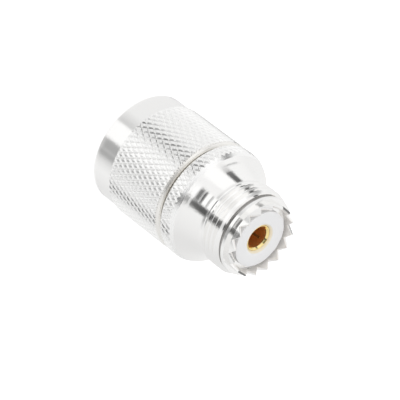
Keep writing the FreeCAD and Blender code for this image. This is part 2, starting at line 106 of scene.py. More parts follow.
print("a ring of a knurled piece has", COLUMNS, "columns")

# %% Faces between the rings


def ring_faces(rings, climb=None, fold=None):
    """Faces from ring to ring. climb is (first ring, last ring, rings per turn)."""
    rows, columns = len(rings), len(rings[0][0])
    partner = np.arange(rows)
    if climb:
        first, last, turn = climb
        partner[first:last + 1] = np.clip(partner[first:last + 1] + turn, first, last)
    faces = []
    for row in range(rows):
        above = (row + 1) % rows
        for column in range(columns):
            beside = (column + 1) % columns
            low, high = (partner[row], partner[above]) if beside == 0 else (row, above)
            a = row * columns + column
            b = low * columns + beside
            c = high * columns + beside
            d = above * columns + column
            way = fold(row, column) if fold else 0
            if way == 1:
                faces += [(a, b, c), (a, c, d)]
            elif way == 2:
                faces += [(a, b, d), (b, c, d)]
            else:
                faces.append((a, b, c, d))
    return faces


print("three plain rings make", len(ring_faces(profile([(1, 0), (2, 0), (2, 1)]))), "faces")

# %% Skin over the rings
SHARP_ANGLE = math.radians(30)
SAME_POINT = 2e-7  # metres


def skin(name, rings, first_angle=0.0, climb=None, fold=None):
    """A closed, smooth piece from rings, with edges kept sharp where it bends hard."""
    columns = len(rings[0][0])
    angle = np.radians(first_angle) + np.arange(columns) * 2 * math.pi / columns
    radius = np.array([r for r, z in rings])
    height = np.array([z for r, z in rings])
    points = np.stack([radius * np.cos(angle), radius * np.sin(angle), height], axis=-1)
    mesh = bpy.data.meshes.new(name)
    mesh.from_pydata((points.reshape(-1, 3) * MM).tolist(), [], ring_faces(rings, climb, fold))
    work = bmesh.new()
    work.from_mesh(mesh)
    bmesh.ops.remove_doubles(work, verts=work.verts, dist=SAME_POINT)
    bmesh.ops.dissolve_degenerate(work, edges=work.edges, dist=SAME_POINT / 2)
    bmesh.ops.recalc_face_normals(work, faces=work.faces)
    work.to_mesh(mesh)
    work.free()
    mesh.shade_smooth()
    mesh.set_sharp_from_angle(angle=SHARP_ANGLE)
    piece = bpy.data.objects.new(name, mesh)
    bpy.context.scene.collection.objects.link(piece)
    print(name, len(mesh.polygons), "faces")
    return piece


print("edges sharper than", round(math.degrees(SHARP_ANGLE)), "degrees stay sharp")

# %% [markdown]
# ## Knurl
# Both grips carry a diamond knurl, which a wheel rolls into the turned metal. It could
# be a bump in the material, but it shows in the outline and against the bevels, so it is
# cut as shape. Two sets of crossed grooves, about a fifth of a millimetre deep, leave
# four-sided diamonds with flat tops. A pit is a point where two grooves cross. The mesh
# has a column on every pit, and its faces fold along the grooves, so each diamond keeps
# flat sides.

# %% Knurl helpers
KNURL_TOP = 10.68
KNURL_FLOOR = 10.47
HALF_PITCH = 0.99   # from one row of pits to the next, up the axis
STEPS = 4           # rings up to the next row, or columns round to the next pit's line
GROOVE_SIDE = 0.54  # share of the way to a diamond's middle that a groove's side takes
CLEARANCE = 0.25    # steps kept free between the end planes and the nearest ring


def knurl_heights(low, high, pit_height):
    """Ring heights on the knurl's own grid, with a plane at each end."""
    step = HALF_PITCH / STEPS
    first = math.ceil((low - pit_height) / step + CLEARANCE)
    last = math.floor((high - pit_height) / step - CLEARANCE)
    return [low] + [pit_height + n * step for n in range(first, last + 1)] + [high]


def knurl_ring(height, pit_height, pit_column, limit):
    """One ring with the grooves that cross it, cut down to a greatest radius."""
    across = (np.arange(COLUMNS) - pit_column) / STEPS
    along = (height - pit_height) / HALF_PITCH
    one_hand = np.abs((across + along + 1) % 2 - 1)
    other_hand = np.abs((across - along + 1) % 2 - 1)
    rise = np.minimum(np.minimum(one_hand, other_hand) / GROOVE_SIDE, 1)
    radius = KNURL_FLOOR + (KNURL_TOP - KNURL_FLOOR) * rise
    return ring(np.minimum(radius, limit), height)


def knurl_rings(low, high, pit_height, pit_column, limit_at):
    """All rings of a knurl. limit_at gives the greatest radius at a height."""
    return [knurl_ring(height, pit_height, pit_column, limit_at(height))
            for height in knurl_heights(low, high, pit_height)]


print("diamonds round a knurl:", COLUMNS // (2 * STEPS))

# %% Folds along the grooves


def knurl_fold(rings, first, last, pit_height, pit_column):
    """Tells ring_faces which way a face folds, so that the fold lies in a groove."""
    def fold(row, column):
        if not first <= row < last:
            return 0
        middle = (rings[row][1][0] + rings[row + 1][1][0]) / 2
        across = math.floor((column + 0.5 - pit_column) / STEPS)
        along = math.floor((middle - pit_height) / HALF_PITCH)
        return 1 if (across + along) % 2 == 0 else 2
    return fold


print("grooves", round(KNURL_TOP - KNURL_FLOOR, 2), "mm deep")

# %% [markdown]
# ## Screw thread
# Both threads are the common five-eighths inch one with 24 turns to the inch and 60
# degree flanks. A screw modifier could sweep a tooth into a helix, but it leaves loose
# ends. Here the rings climb with the thread, so its crest and root run along mesh edges
# and stay sharp, and near its ends a chamfer cuts it down, as on the lathe.

# %% Thread helper
PITCH = 25.4 / 24
RINGS_PER_TURN = 12
FLANK_ANGLE = math.radians(30)


def thread_rings(start, end, crest, root, root_height, root_angle, first_angle, limit_at):
    """Climbing rings of a thread. A root lies at root_height in direction root_angle."""
    flank = abs(crest - root) * math.tan(FLANK_ANGLE)
    root_flat = PITCH * 7 / 8 - 2 * flank  # the crest's flat takes an eighth
    share = np.arange(COLUMNS) / COLUMNS
    shift = PITCH * (first_angle + share * 360 - root_angle) / 360
    count = math.ceil(RINGS_PER_TURN * (1 + (end - start) / PITCH))
    cut = np.maximum if root > crest else np.minimum
    rings = []
    for row in range(count + 1):
        height = np.clip(start - PITCH + PITCH * (row / RINGS_PER_TURN + share), start, end)
        along = height - root_height - shift
        from_root = np.abs((along + PITCH / 2) % PITCH - PITCH / 2)
        rise = np.clip((from_root - root_flat / 2) / flank, 0, 1)
        rings.append((cut(root + (crest - root) * rise, limit_at(height)), height))
    return rings


print("pitch", round(PITCH, 3), "mm")

# %% [markdown]
# ## Coupling nut
# The nut is a brass tube with a smooth band at its rim and the knurl over the rest. The
# band is turned after the knurl, so the diamonds are cut off there by a small bevel, and
# another one leaves a saw-tooth line at the back. A bevel modifier can't follow a knurl,
# so both are limits on the radius. Inside, from the back to the rim, lie the bore, the
# groove of the retaining ring, an undercut and the thread.

# %% Outside of the nut
NUT_ANGLE = -112.05  # where column 0 of the nut, with a pit on it, lies round Z
NUT_PIT = 16.40      # the height of that pit
RIM_BORE = 8.02
BAND_RADIUS = 10.4
BAND_TOP = 4.4
NUT_BACK = 17.5
BACK_BEVEL = 16.95
BACK_BEVEL_SLOPE = 1.6


def nut_limit(height):
    """The greatest radius that the bevels at both ends of the nut's knurl leave."""
    return min(BAND_RADIUS + (height - BAND_TOP),
               KNURL_TOP - max(0, height - BACK_BEVEL) * BACK_BEVEL_SLOPE)


nut_rings = profile([(RIM_BORE, 0.0), (10.10, 0.0), (10.19, 0.02), (10.34, 0.11),
                     (BAND_RADIUS, 0.24), (BAND_RADIUS, 1.3), (BAND_RADIUS, 2.8),
                     (BAND_RADIUS, BAND_TOP)])
nut_knurl_first = len(nut_rings)
nut_rings += knurl_rings(BAND_TOP, NUT_BACK, NUT_PIT, 0, nut_limit)
nut_knurl_last = len(nut_rings) - 1
print("nut's knurl:", nut_knurl_last - nut_knurl_first + 1, "rings")

# %% Inside of the nut
NUT_THREAD_END = 8.6


def nut_thread_limit(height):
    """The smallest radius that the chamfer at the rim leaves of the nut's thread."""
    return RIM_BORE - height


nut_rings += profile([(9.5, NUT_BACK), (8.4, NUT_BACK), (7.38, NUT_BACK), (7.18, 17.3),
                      (7.18, 14.6), (7.95, 14.6), (7.95, 13.4), (7.18, 13.4), (7.18, 11.0),
                      (8.1, 11.0), (8.1, NUT_THREAD_END)])
nut_thread_first = len(nut_rings)
nut_thread = thread_rings(0.0, NUT_THREAD_END, crest=7.42, root=8.0, root_height=2.0,
                          root_angle=0.0, first_angle=NUT_ANGLE, limit_at=nut_thread_limit)
nut_rings += nut_thread[::-1]
knurled_nut = skin("knurled_nut", nut_rings, NUT_ANGLE,
                   climb=(nut_thread_first, len(nut_rings) - 1, -RINGS_PER_TURN),
                   fold=knurl_fold(nut_rings, nut_knurl_first, nut_knurl_last, NUT_PIT, 0))
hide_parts("coupling_nut")
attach(knurled_nut, "nut")

# %% [markdown]
# ## Crown
# The socket's mouth is a thin tube with sixteen V teeth. A milling cutter runs straight
# across the axis and cuts two opposite notches at a time. That could be a boolean with
# eight long wedges, which leaves thin faces. Here each column works out how high the cut
# leaves the crown's outside and its inside, and the rings run along those two lines, so
# every tooth gets sharp edges. The tube tapers a little, outside and inside.

# %% Crown helpers
TEETH = 16
TOOTH_DEPTH = 1.35
CUT_RADIUS = 6.6           # where a tooth has its full depth
CROWN_FOOT = 30.8
CROWN_HEIGHT = 1.95
NOTCH_ROOT = 31.4
CROWN_OUTSIDE = 6.65, 6.6  # radius at the foot and at the tips
CROWN_INSIDE = 5.84, 6.22
BROKEN_EDGE = 0.03


def crown_edge(foot_radius, tip_radius):
    """Where the V cuts leave one side of the crown, as radius and height per column."""
    columns_per_tooth = COLUMNS // TEETH
    from_notch = np.arange(COLUMNS) % columns_per_tooth
    from_notch = np.minimum(from_notch, columns_per_tooth - from_notch)
    steep = TOOTH_DEPTH / (CUT_RADIUS * math.tan(math.pi / TEETH))
    rise = steep * np.sin(np.radians(from_notch * 360 / COLUMNS))
    lean = (tip_radius - foot_radius) / CROWN_HEIGHT
    height = (NOTCH_ROOT + rise * (foot_radius - lean * CROWN_FOOT)) / (1 - rise * lean)
    return np.stack([foot_radius + lean * (height - CROWN_FOOT), height])


def toward(start, end, size):
    """Points a set distance from one line of points toward another."""
    return start + (end - start) * size / np.hypot(*(end - start))


def crown_rings():
    """Rings up the crown, over its notched edge and down to the mouth's floor."""
    outer = crown_edge(*CROWN_OUTSIDE)
    inner = crown_edge(*CROWN_INSIDE)
    foot = np.stack(ring(CROWN_OUTSIDE[0], CROWN_FOOT))
    floor = np.stack(ring(CROWN_INSIDE[0], CROWN_FOOT))
    lines = [foot, toward(outer, foot, BROKEN_EDGE), toward(outer, inner, BROKEN_EDGE),
             (outer + inner) / 2, toward(inner, outer, BROKEN_EDGE),
             toward(inner, floor, BROKEN_EDGE), floor]
    return [(radius, height) for radius, height in lines]


print("tips of the teeth at", round(crown_edge(*CROWN_OUTSIDE)[1].max(), 2), "mm")

# %% [markdown]
# ## Socket shell
# One turned piece carries the knurled flange, a flare, the neck, the thread, a relief
# groove, a collar and the crown. It could be a stack of separate pieces, but the real
# one is cut from a single bar, and one mesh leaves no seams. Its rings go up the
# outside, over the crown and down the bore.

# %% Knurled flange
FLANGE_PIT = 19.85    # the height of one pit of the flange's knurl
FLANGE_COLUMN = -155  # the column of that pit
FLANGE_BASE = 18.1
FLANGE_TOP = 21.4
BASE_EDGE = 10.28
TOP_EDGE = 10.15
TOP_BEVEL_SLOPE = 0.53


def flange_limit(height):
    """The greatest radius that the bevels of the flange leave."""
    return min(BASE_EDGE + (height - FLANGE_BASE), KNURL_TOP,
               TOP_EDGE + (FLANGE_TOP - height) * TOP_BEVEL_SLOPE)


shell_rings = profile([(4.2, 14.6), (5.8, 14.6), (6.0, 14.8), (6.0, FLANGE_BASE),
                       (8.5, FLANGE_BASE), (10.1, FLANGE_BASE)])
shell_knurl_first = len(shell_rings)
shell_rings += knurl_rings(FLANGE_BASE, FLANGE_TOP, FLANGE_PIT, FLANGE_COLUMN, flange_limit)
shell_knurl_last = len(shell_rings) - 1
print("flange's knurl:", shell_knurl_last - shell_knurl_first + 1, "rings")

# %% Flare, neck and thread
FLARE_CENTRE = (10.96, 25.0)
FLARE_SIZE = 3.66
THREAD_START = 25.75
THREAD_END = 29.7
THREAD_ROOT = 7.3
START_EDGE, START_SLOPE = 7.35, 1.6
END_EDGE = 7.5875


def shell_thread_limit(height):
    """The greatest radius that the chamfers at both ends leave of the thread."""
    return np.minimum(START_EDGE + (height - THREAD_START) * START_SLOPE,
                      END_EDGE + (THREAD_END - height))


shell_rings += profile(arc(FLARE_CENTRE, FLARE_SIZE, 250, 180, 16)
                       + [(THREAD_ROOT, 25.12), (7.2, 25.23), (7.2, 25.5),
                          (THREAD_ROOT, 25.6), (THREAD_ROOT, THREAD_START)])
shell_thread_first = len(shell_rings)
shell_rings += thread_rings(THREAD_START, THREAD_END, crest=7.9375, root=THREAD_ROOT,
                            root_height=27.33, root_angle=CAMERA_SIDE, first_angle=0.0,
                            limit_at=shell_thread_limit)
shell_thread_last = len(shell_rings) - 1
print("thread:", shell_thread_last - shell_thread_first + 1, "rings")

# %% Relief groove, collar, crown and bore
shell_rings += profile([(7.1, 29.72), (7.05, 29.77), (7.05, 30.05), (7.1, 30.1),
                        (7.31, 30.1), (7.35, 30.14), (7.35, 30.76), (7.31, CROWN_FOOT),
                        (6.7, CROWN_FOOT)])
shell_rings += crown_rings()
shell_rings += profile([(5.24, CROWN_FOOT), (5.24, 25.0), (5.24, 19.0), (4.2, 19.0)])
threaded_shell = skin("threaded_shell", shell_rings,
                      climb=(shell_thread_first, shell_thread_last, RINGS_PER_TURN),
                      fold=knurl_fold(shell_rings, shell_knurl_first, shell_knurl_last,
                                      FLANGE_PIT, FLANGE_COLUMN))
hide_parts("socket_shell")
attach(threaded_shell, "adapter_body")

# %% [markdown]
# ## White disc
# The insulator is a turned plastic bush. Only its front face shows, inside the crown,
# with a barely broken edge and a countersink round the contact. It is a smooth form, so
# fewer columns do, and rings closer together at its edges round them a little, where a
# bevel modifier would round every edge alike.

# %% White disc
FINE = 192
disc = [(1.54, 14.6), (4.18, 14.6), (4.18, 19.0), (5.22, 19.0), (5.22, 25.0), (5.22, 31.54),
        (5.2, 31.58), (5.15, 31.6), (4.4, 31.6), (3.6, 31.6), (2.93, 31.6), (2.87, 31.58),
        (2.5, 31.22), (2.47, 31.15), (2.47, 24.0), (2.47, 16.0), (1.54, 16.0)]
white_disc = skin("white_disc", profile(disc, FINE))
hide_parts("socket_insulator")
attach(white_disc, "adapter_body")

# %% [markdown]
# ## Gold contact
# The contact is a tube with a rounded lip, a bright lead-in and four spring slots that
# start behind the lip. The slots' walls are parallel, not radial, so they can't be made
# by leaving columns out of the rings. Two crossed bars cut them with a boolean, and the
# result is kept as a plain mesh.

# %% Cutter for spring slots
SLOT_WIDTH = 0.4


def crossed_bars(reach, low, high, turn):
    """Two crossed bars, used once as a cutter for four slots."""
    work = bmesh.new()
    for angle in (turn, turn + 90):
        spin = Matrix.Rotation(math.radians(angle), 4, "Z")
        size = Matrix.Diagonal((2 * reach * MM, SLOT_WIDTH * MM, (high - low) * MM, 1))
        lift = Matrix.Translation((0, 0, (low + high) / 2 * MM))
        bmesh.ops.create_cube(work, size=1, matrix=spin @ lift @ size)
    mesh = bpy.data.meshes.new("bars")
    work.to_mesh(mesh)
    work.free()
    return bpy.data.objects.new("bars", mesh)


def cut_slots(piece, bars):
    """Cuts the bars out of a piece for good, and removes them."""
    bpy.context.scene.collection.objects.link(bars)
    cutter = piece.modifiers.new("slots", "BOOLEAN")
    cutter.operation = "DIFFERENCE"
    cutter.solver = "EXACT"
    cutter.use_self = True
    cutter.object = bars
    bpy.context.view_layer.update()
    seen = piece.evaluated_get(bpy.context.evaluated_depsgraph_get())
    mesh = bpy.data.meshes.new_from_object(seen)
    piece.modifiers.clear()
    piece.data = mesh
    mesh.set_sharp_from_angle(angle=SHARP_ANGLE)
    bpy.data.objects.remove(bars)
    print(piece.name, "with slots:", len(mesh.polygons), "faces")


print("slots", SLOT_WIDTH, "mm wide")

# %% Gold contact
lip = arc((2.33, 31.08), 0.12, 0, 90, 6) + [(2.27, 31.2), (2.23, 31.17)]
tube = ([(1.02, 16.0), (2.35, 16.0), (2.45, 16.1), (2.45, 24.0)] + lip
        + [(2.0, 30.85), (2.0, 25.0), (2.0, 19.65), (1.0, 19.2), (0.02, 18.75), (0.02, 18.4),
           (1.02, 18.4)])
gold_contact = skin("gold_contact", profile(tube, FINE))
cut_slots(gold_contact, crossed_bars(reach=3.2, low=21.8, high=29.8, turn=0))
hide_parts("socket_contact")
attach(gold_contact, "adapter_body")

# %% [markdown]
# ## Inside the nut
# The plug body, its insulator, pin and gasket sit inside the nut and show only from
# below. They are turned forms too, with broken edges, so the same rings make them. The
# retaining ring is hidden in its groove, and the CAD solid already has its open shape,
# so it only gets a material.

# %% Plug body
hub = [(3.5, 2.26), (3.56, 2.2), (3.9, 2.2), (4.0, 2.24), (4.06, 2.38), (4.06, 7.9),
       (4.16, 8.0), (5.1, 8.0), (5.2, 8.1), (5.2, 9.0), (6.95, 9.0), (7.06, 9.04),
       (7.1, 9.15), (7.1, 13.4), (6.35, 13.4), (6.35, 14.6), (7.1, 14.6), (7.1, 18.1),
       (6.02, 18.1), (6.02, 14.6), (4.92, 14.6), (4.92, 9.8), (3.5, 9.8)]
sleeved_body = skin("sleeved_body", profile(hub, FINE))
cut_slots(sleeved_body, crossed_bars(reach=4.6, low=1.5, high=6.4, turn=45))
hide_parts("plug_body")
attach(sleeved_body, "adapter_body")

# %% Plug's own disc
inner_disc = [(1.54, 9.86), (1.6, 9.8), (4.8, 9.8), (4.9, 9.9), (4.9, 14.6), (1.54, 14.6)]
plug_disc = skin("plug_disc", profile(inner_disc, FINE))
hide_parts("plug_insulator")
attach(plug_disc, "adapter_body")

# %% Centre pin
tip = arc((0.25, 3.45), 0.55, 270, 360, 10)
pin = ([(0.005, 2.9)] + tip + [(0.8, 8.4), (1.42, 8.4), (1.52, 8.5), (1.52, 16.0),
                               (1.0, 16.0), (1.0, 18.2), (0.005, 18.2)])
centre_pin = skin("centre_pin", profile(pin, FINE))
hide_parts("plug_pin")
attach(centre_pin, "adapter_body")

# %% Rubber ring
rubber = ([(5.25, 9.0)] + arc((5.6, 8.05), 0.35, 180, 270, 7)
          + arc((6.65, 8.05), 0.35, 270, 360, 7) + [(7.0, 9.0)])
rubber_ring = skin("rubber_ring", profile(rubber, FINE))
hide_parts("sealing_gasket")
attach(rubber_ring, "adapter_body")

# %% [markdown]
# ## Plated metal
# Silver plate is bright, but not a perfect mirror: the brass under it was turned and
# tumbled, so the edge of a reflection looks ragged, and the recesses stay duller than
# the edges that rub. Three effects are shared by the materials as node groups, built
# once. They could be painted textures, but noise and ramps over the piece's own
# coordinates stay sharp at any distance. First come helpers that add single nodes.

# %% Node helpers


def new_group(name, inputs, outputs):
    """An empty shader node group with number sockets."""
    group = bpy.data.node_groups.new(name, "ShaderNodeTree")
    for label, default in inputs:
        socket = group.interface.new_socket(label, in_out="INPUT", socket_type="NodeSocketFloat")
        socket.default_value = default
    for label in outputs:
        group.interface.new_socket(label, in_out="OUTPUT", socket_type="NodeSocketFloat")
    return group, group.nodes.new("NodeGroupInput"), group.nodes.new("NodeGroupOutput")


def maths(tree, operation, first, second=None, third=None):
    """A math node fed by sockets or numbers."""
    node = tree.nodes.new("ShaderNodeMath")
    node.operation = operation
    for index, feed in enumerate((first, second, third)):
        if feed is None:
            continue
        if isinstance(feed, (int, float)):
            node.inputs[index].default_value = feed
        else:
            tree.links.new(feed, node.inputs[index])
    return node.outputs[0]


def noise(tree, vector, scale, detail, roughness):
    """A noise texture's value, with features of 1 / scale metres."""
    node = tree.nodes.new("ShaderNodeTexNoise")
    tree.links.new(vector, node.inputs["Vector"])
    node.inputs["Scale"].default_value = scale
    node.inputs["Detail"].default_value = detail
    node.inputs["Roughness"].default_value = roughness
    return node.outputs["Fac"]


print("groups so far:", len(bpy.data.node_groups))

# %% [markdown]
# ## Mottle
# The plated surface has a fine grain, about a third of a millimetre, and softer clouds
# three times as large. The group puts out their sum as a height for a bump, and the
# clouds alone as a mask for the roughness.

# %% Plating mottle
mottle, mottle_in, mottle_out = new_group(
    "plating mottle", [("Grain", 1.0), ("Clouds", 1.0)], ["Height", "Mask"])
where = mottle.nodes.new("ShaderNodeTexCoord").outputs["Object"]
grain = noise(mottle, where, scale=2800, detail=3.0, roughness=0.6)
clouds = noise(mottle, where, scale=900, detail=2.0, roughness=0.5)
grain_part = maths(mottle, "MULTIPLY", grain, mottle_in.outputs["Grain"])
cloud_part = maths(mottle, "MULTIPLY", clouds, mottle_in.outputs["Clouds"])
mottle.links.new(maths(mottle, "ADD", grain_part, cloud_part), mottle_out.inputs["Height"])
mottle.links.new(clouds, mottle_out.inputs["Mask"])
print("group:", mottle.name)

# %% [markdown]
# ## Turning marks
# A lathe tool leaves fine rings round the axis. A wave texture would repeat them evenly,
# so they are made from noise instead, read at a point that has only a radius and a
# height. The noise is then the same all the way round.

# %% Turning marks


def radius_and_height(tree):
    """How far a point of the surface is from the axis, and its height, in metres."""
    split = tree.nodes.new("ShaderNodeSeparateXYZ")
    where = tree.nodes.new("ShaderNodeTexCoord").outputs["Object"]
    tree.links.new(where, split.inputs[0])
    across, deep, height = split.outputs
    squares = maths(tree, "ADD", maths(tree, "MULTIPLY", across, across),
                    maths(tree, "MULTIPLY", deep, deep))
    return maths(tree, "SQRT", squares), height


turning, turning_in, turning_out = new_group(
    "turning marks", [("Strength", 1.0)], ["Height"])
radius, height = radius_and_height(turning)
path = turning.nodes.new("ShaderNodeCombineXYZ")
turning.links.new(radius, path.inputs["X"])
turning.links.new(height, path.inputs["Z"])
marks = noise(turning, path.outputs[0], scale=6000, detail=3.0, roughness=0.6)
turning.links.new(maths(turning, "MULTIPLY", marks, turning_in.outputs["Strength"]),
                  turning_out.inputs["Height"])
print("group:", turning.name)

# %% [markdown]
# ## Recess mask
# The knurls, the gap behind the nut, the relief groove, the mouth and the bores get another
# colour and more roughness than the rest. On the knurls and in the gap behind the nut that
# colour is painted light; in the relief groove and the bores it is painted shade. They could
# be separate materials with hard borders. This group finds them by their place instead: it
# puts out a mask that is 1 inside a radius and between two heights, and fades out over a
# tenth of a millimetre.

# %% Recess mask
FADE = 10  # per millimetre


def past(tree, value, edge):
    """Rises from 0 to 1 as a value in millimetres passes an edge."""
    result = maths(tree, "MULTIPLY_ADD", maths(tree, "SUBTRACT", value, edge), FADE, 0.5)
    result.node.use_clamp = True
    return result


recess, recess_in, recess_out = new_group(
    "recess mask", [("Low", 0.0), ("High", 1.0), ("Radius", 1.0)], ["Mask"])
radius, height = (maths(recess, "MULTIPLY", size, 1 / MM) for size in radius_and_height(recess))
above = past(recess, height, recess_in.outputs["Low"])
below = maths(recess, "SUBTRACT", 1, past(recess, height, recess_in.outputs["High"]))
inside = maths(recess, "SUBTRACT", 1, past(recess, radius, recess_in.outputs["Radius"]))
mask = maths(recess, "MULTIPLY", maths(recess, "MULTIPLY", above, below), inside)
recess.links.new(mask, recess_out.inputs["Mask"])
print("groups:", [group.name for group in bpy.data.node_groups])

# %% [markdown]
# ## Finishes
# Each material is a Principled shader with its own numbers. The mottle and the turning
# marks add up to one height, which drives a bump node whose distance is real, a few
# thousandths of a millimetre. On plated metal they also vary the roughness, which breaks
# up the edges of reflections. A second helper lays a recess mask over a finish: it mixes
# in another colour and adds to the roughness where the recess is. In several places that
# colour is painted light or painted shade.

# %% Finish helpers
MARKS_SHARE = 3  # how much more the turning marks vary the roughness than the clouds do


def placed(tree, group, **values):
    """A group placed in a material, with its inputs set."""
    node = tree.nodes.new("ShaderNodeGroup")
    node.node_tree = group
    for label, value in values.items():
        node.inputs[label].default_value = value
    return node


def finish_of(name, colour, metallic, rough, relief, grain, clouds, turned, vary=0.0):
    """A material for a turned or plated piece. relief is its bump, in millimetres."""
    material = bpy.data.materials.new(name)
    material.use_nodes = True
    tree = material.node_tree
    shader = tree.nodes["Principled BSDF"]
    shader.inputs["Base Color"].default_value = (*colour, 1)
    shader.inputs["Metallic"].default_value = metallic
    shader.inputs["Roughness"].default_value = rough
    spots = placed(tree, mottle, Grain=grain, Clouds=clouds)
    rings = placed(tree, turning, Strength=turned)
    bump = tree.nodes.new("ShaderNodeBump")
    bump.inputs["Strength"].default_value = 1
    bump.inputs["Distance"].default_value = relief * MM
    height = maths(tree, "ADD", spots.outputs["Height"], rings.outputs["Height"])
    tree.links.new(height, bump.inputs["Height"])
    tree.links.new(bump.outputs["Normal"], shader.inputs["Normal"])
    if vary:
        cloudy = maths(tree, "MULTIPLY", maths(tree, "SUBTRACT", spots.outputs["Mask"], 0.5), vary)
        streak = maths(tree, "SUBTRACT", rings.outputs["Height"], turned / 2)
        uneven = maths(tree, "MULTIPLY_ADD", streak, MARKS_SHARE * vary, cloudy)
        tree.links.new(maths(tree, "ADD", uneven, rough), shader.inputs["Roughness"])
    return material


print("materials so far:", len(bpy.data.materials))

# %% Recoloured and rougher places on a finish


def recolour_and_roughen_in(material, low, high, radius, colour, rougher=0.0):
    """Changes a finish inside a radius, between two heights, all in millimetres."""
    tree = material.node_tree
    shader = tree.nodes["Principled BSDF"]
    mask = placed(tree, recess, Low=low, High=high, Radius=radius).outputs["Mask"]
    blend = tree.nodes.new("ShaderNodeMix")
    blend.data_type = "RGBA"
    base = shader.inputs["Base Color"]
    if base.is_linked:
        tree.links.new(base.links[0].from_socket, blend.inputs["A"])
    else:
        blend.inputs["A"].default_value = base.default_value
    blend.inputs["B"].default_value = (*colour, 1)
    tree.links.new(mask, blend.inputs["Factor"])
    tree.links.new(blend.outputs["Result"], base)
    if rougher:
        rough = shader.inputs["Roughness"]
        before = rough.links[0].from_socket if rough.is_linked else rough.default_value
        extra = maths(tree, "MULTIPLY", mask, rougher)
        tree.links.new(maths(tree, "ADD", extra, before), rough)


print("a recess fades out over", 1 / FADE, "mm")

# %% Silver plate
# Painted light: the knurls' silver is paler than the plate, which whitens their facets.
KNURL_SILVER_PAINTED_LIGHT = (1.0, 0.998, 0.99)
silver = finish_of("silver_plate", (0.965, 0.96, 0.95), metallic=1, rough=0.1, relief=0.007,
                   grain=1.0, clouds=0.8, turned=1.1, vary=0.08)
# Rougher places on the plate, each with its own colour: painted light on the knurls and in the gap
# behind the nut, painted shade in the relief groove, and a browner silver in the mouth.
SILVER_PAINTED_AND_DULL = {
    "nut's knurl": (4.45, 16.95, 10.75, KNURL_SILVER_PAINTED_LIGHT, 0.17),
    # Painted light: a warmer, slightly paler silver lightens the gap behind the nut, where shade
    # falls.
    "gap behind the nut": (16.95, 18.15, 10.75, (0.975, 0.96, 0.93), 0.2),
    "flange's knurl": (18.2, 21.35, 10.75, KNURL_SILVER_PAINTED_LIGHT, 0.17),
    # Painted shade: dark grey in the relief groove.
    "relief groove": (29.72, 30.1, 7.2, (0.4, 0.39, 0.38), 0.2),
    "mouth": (31.0, 33.0, 6.3, (0.95, 0.925, 0.895), 0.35),
}
for low, high, radius, colour, rougher in SILVER_PAINTED_AND_DULL.values():
    recolour_and_roughen_in(silver, low, high, radius, colour, rougher)
print("silver plate is duller at:", ", ".join(SILVER_PAINTED_AND_DULL))

# %% Gold plate and spring bronze
gold = finish_of("gold_plate", (0.98, 0.8, 0.38), metallic=1, rough=0.12, relief=0.003,
                 grain=0.5, clouds=0.5, turned=0.6, vary=0.05)
# Painted shade: a darker, more orange gold inside the contact's bore.
painted_shade_bore_gold = (1.0, 0.66, 0.26)
recolour_and_roughen_in(gold, low=18.0, high=30.75, radius=2.1, colour=painted_shade_bore_gold, rougher=0.33)
bronze = finish_of("spring_bronze", (0.72, 0.50, 0.27), metallic=1, rough=0.3, relief=0.004,
                   grain=0.5, clouds=0.5, turned=0.3)
print("gold plate:", len(gold.node_tree.nodes), "nodes")

# %% [markdown]
# ## Plastic and rubber
# The plastic and the rubber are not metal. The white disc is milky and lets a little
# light in, which subsurface scattering gives. Round the contact a warm tint is painted
# in: a painted reflection of the gold. The narrow gap beside the contact is painted dark
# brown: painted shade. The rubber ring is dull and black.

# %% White plastic and black rubber
plastic = finish_of("white_insulator", (0.775, 0.775, 0.78), metallic=0, rough=0.42,
                    relief=0.004, grain=0.6, clouds=0.5, turned=1.0)
# Painted reflection: a warm gold tint on the countersink round the contact.
painted_gold_reflection_tint = (0.84, 0.76, 0.6)
# Painted shade: dark brown in the narrow gap beside the contact.
painted_gap_shade = (0.35, 0.17, 0.05)
recolour_and_roughen_in(plastic, low=31.1, high=31.7, radius=2.8, colour=painted_gold_reflection_tint)
recolour_and_roughen_in(plastic, low=16.0, high=31.1, radius=2.6, colour=painted_gap_shade)
plastic_shader = plastic.node_tree.nodes["Principled BSDF"]
plastic_shader.inputs["Subsurface Weight"].default_value = 0.35
plastic_shader.inputs["Subsurface Radius"].default_value = (0.8, 0.8, 0.8)
plastic_shader.inputs["Subsurface Scale"].default_value = 0.6 * MM
rubber_black = finish_of("silicone_rubber", (0.03, 0.03, 0.032), metallic=0, rough=0.6,
                         relief=0.01, grain=1.0, clouds=1.0, turned=0.0)
print("plastic:", len(plastic.node_tree.nodes), "nodes")

# %% [markdown]
# ## Finishes on the pieces
# The new pieces have no material yet, so each gets its own. The CAD solids get the same
# ones in their slots, because the retaining ring is shown as the CAD has it.

# %% Materials on every piece
for material, pieces in (
        (silver, (knurled_nut, threaded_shell, sleeved_body)),
        (gold, (gold_contact, centre_pin)),
        (plastic, (white_disc, plug_disc)),
        (rubber_black, (rubber_ring,))):
    for piece in pieces:
        piece.data.materials.clear()
        piece.data.materials.append(material)
cad_finish = {"socket_shell": silver, "plug_body": silver, "coupling_nut": silver,
              "retaining_ring": bronze, "sealing_gasket": rubber_black,
              "socket_insulator": plastic, "plug_insulator": plastic,
              "socket_contact": gold, "plug_pin": gold}
for node, material in cad_finish.items():
    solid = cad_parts[node]
    if not solid.material_slots:
        solid.data.materials.append(material)
    for material_slot in solid.material_slots:
        material_slot.material = material
print("materials:", sorted(material.name for material in bpy.data.materials if material.users))

# %% [markdown]
# ## Studio
# The photograph is a product shot on pure white. A mirror-like part shows its
# surroundings, so the world gives it some. The world could be a picture of a studio, but
# a few ramps over the direction do the same. A mirror that faces half way between the
# lens and a thing shows that thing to the lens. So the world is laid out by that half-way
# direction, which is also the direction that the reflecting surface faces: its turn is an
# angle round the axis from the camera's side, and its tip is the angle up from level.
# Each reflection seen on the flare, neck and band of the photograph then has its place in
# plain numbers.

